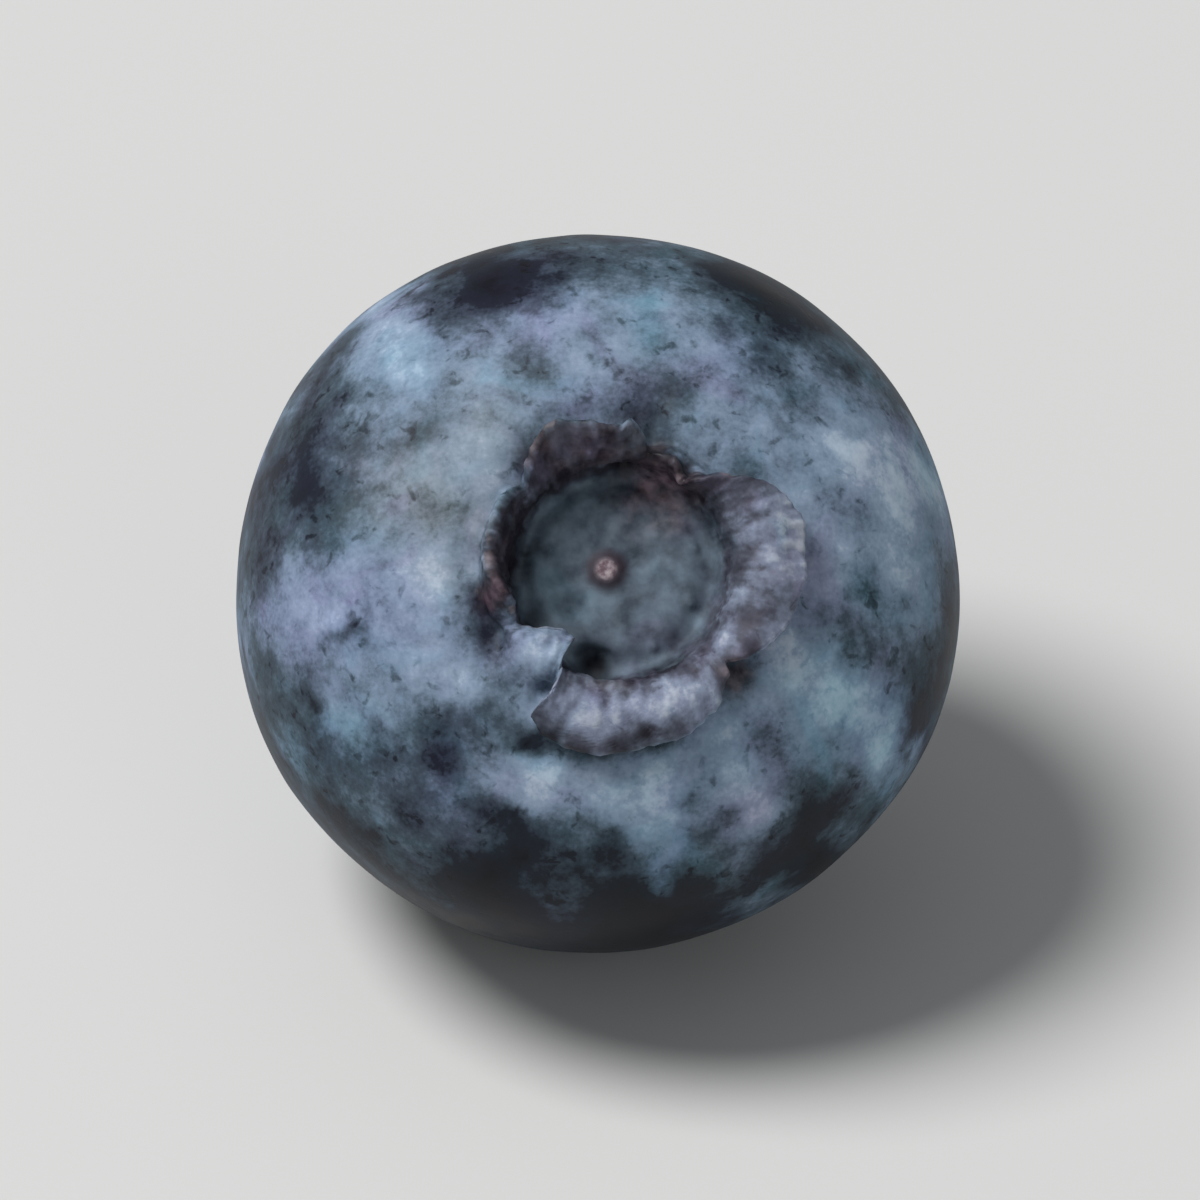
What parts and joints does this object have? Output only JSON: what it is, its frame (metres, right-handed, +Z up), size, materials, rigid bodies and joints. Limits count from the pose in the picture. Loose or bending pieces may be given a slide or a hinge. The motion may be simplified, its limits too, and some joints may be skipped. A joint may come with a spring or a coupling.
{
  "type": "blueberry",
  "caption": "Ripe highbush blueberry, a round dull blue fruit with a lobed crown round a sunken disc, lying on a small flat spot.",
  "frame": {"origin": "middle of the small flat spot that the berry rests on", "axes": "+Z up; the crown faces -Y and up, its axis 47 degrees above the horizontal; X across the berry, its widest way"},
  "size_m": [0.0179, 0.0174, 0.0171],
  "materials": {
    "berry_skin": "matte"
  },
  "bodies": {
    "root": {"blueberry": "berry_skin"}
  },
  "joints": []
}
